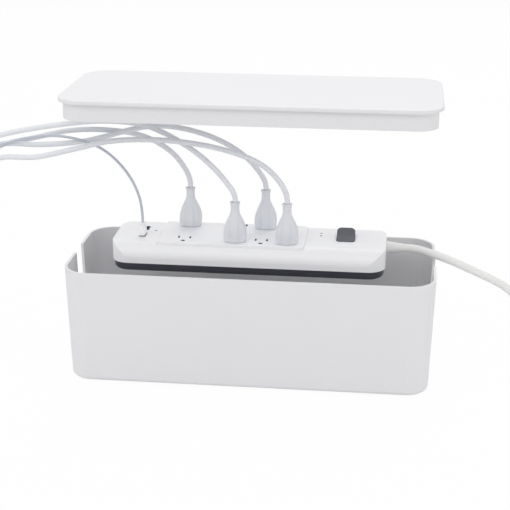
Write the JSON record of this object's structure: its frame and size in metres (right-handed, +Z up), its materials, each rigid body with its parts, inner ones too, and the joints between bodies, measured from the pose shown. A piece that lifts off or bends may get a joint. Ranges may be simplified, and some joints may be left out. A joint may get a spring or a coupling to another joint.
{
  "type": "cable management box",
  "caption": "Open-top box with end slots, a power strip with plugs and cords held above its place inside, and a flat lipped lid held above both.",
  "frame": {"origin": "centre of the box's footprint, on the surface that its feet stand on", "axes": "+X along the box towards the strip's switch end, +Y towards the back, +Z up"},
  "size_m": [0.9952, 0.1772, 0.3222],
  "materials": {
    "box_plastic": "fine matte moulded white",
    "feet_rubber": "matte",
    "lid_plastic": "fine matte moulded white",
    "cover_plastic": "satin white",
    "base_plastic": "satin near black",
    "contact_brass": "bright",
    "lead_insulation": "satin",
    "board_green": "lacquered",
    "varistor_blue": "dipped",
    "light_lens": "polished",
    "coil_tape": "tape",
    "capacitor_sleeve": "shrink sleeve",
    "plated_steel": "bright plated",
    "tongue_black": "satin",
    "rocker_grey": "satin",
    "cord_white": "satin",
    "insert_white": "satin",
    "plug_grey": "satin pale grey",
    "connector_grey": "satin"
  },
  "bodies": {
    "box": {"box_shell": "box_plastic", "box_feet": "feet_rubber", "cord_1": "plug_grey", "cord_1_coil": "plug_grey", "cord_1_connector": "connector_grey", "cord_2": "plug_grey", "cord_2_coil": "plug_grey", "cord_2_connector": "connector_grey", "cord_3": "plug_grey", "cord_3_coil": "plug_grey", "cord_3_connector": "connector_grey", "cord_4": "plug_grey", "cord_4_coil": "plug_grey", "cord_4_connector": "connector_grey", "usb_cord": "cord_white", "usb_coil": "cord_white", "usb_cord_end": "cord_white", "mains_cord": "cord_white", "mains_coil": "cord_white", "wall_plug_body": "cord_white", "wall_plug_pins": "contact_brass"},
    "lid": {"lid": "lid_plastic"},
    "strip": {"strip_cover": "cover_plastic", "strip_base": "base_plastic", "outlet_panel": "cover_plastic", "live_bar": "contact_brass", "neutral_bar": "contact_brass", "earth_bar": "contact_brass", "internal_leads": "lead_insulation", "surge_board": "board_green", "surge_varistors": "varistor_blue", "indicator_lights": "light_lens", "usb_board": "board_green", "usb_transformer": "coil_tape", "usb_capacitors": "capacitor_sleeve", "usb_sockets": "plated_steel", "usb_tongues": "tongue_black", "switch_housing": "cover_plastic", "switch_contact": "contact_brass", "switch_terminals": "contact_brass", "mains_relief": "cord_white", "case_screws": "plated_steel"},
    "rocker": {"switch_rocker": "rocker_grey"},
    "plug_1": {"plug_1_body": "plug_grey", "plug_1_pins": "contact_brass"},
    "plug_2": {"plug_2_body": "plug_grey", "plug_2_pins": "contact_brass"},
    "plug_3": {"plug_3_body": "plug_grey", "plug_3_pins": "contact_brass"},
    "plug_4": {"plug_4_body": "plug_grey", "plug_4_pins": "contact_brass"},
    "usb_plug": {"usb_plug_grip": "cord_white", "usb_plug_shell": "plated_steel", "usb_plug_insert": "insert_white"}
  },
  "joints": [
    {"name": "lid_lift", "type": "slide", "parent": "box", "child": "lid", "axis": [0, 0, 1], "range_m": [-0.187, 0], "deforming": ["cord_1", "cord_2", "cord_3", "cord_4", "usb_cord", "mains_cord"]},
    {"name": "strip_lift", "type": "slide", "parent": "box", "child": "strip", "axis": [0, 0, 1], "range_m": [-0.1158, 0]},
    {"name": "rocker_pivot", "type": "hinge", "parent": "strip", "child": "rocker", "pos_m": [0.1035, 0.005, 0.1508], "axis": [1, 0, 0], "range_deg": [-40, 0]},
    {"name": "plug_1_pull", "type": "slide", "parent": "strip", "child": "plug_1", "axis": [0, 0, 1], "range_m": [0, 0.022]},
    {"name": "plug_2_pull", "type": "slide", "parent": "strip", "child": "plug_2", "axis": [0, 0, 1], "range_m": [0, 0.022]},
    {"name": "plug_3_pull", "type": "slide", "parent": "strip", "child": "plug_3", "axis": [0, 0, 1], "range_m": [0, 0.022]},
    {"name": "plug_4_pull", "type": "slide", "parent": "strip", "child": "plug_4", "axis": [0, 0, 1], "range_m": [0, 0.022]},
    {"name": "usb_plug_pull", "type": "slide", "parent": "strip", "child": "usb_plug", "axis": [0, 0, 1], "range_m": [0, 0.012]}
  ],
  "couplings": [
    {"joint": "strip_lift", "follows": "lid_lift", "ratio": 0.61925}
  ]
}
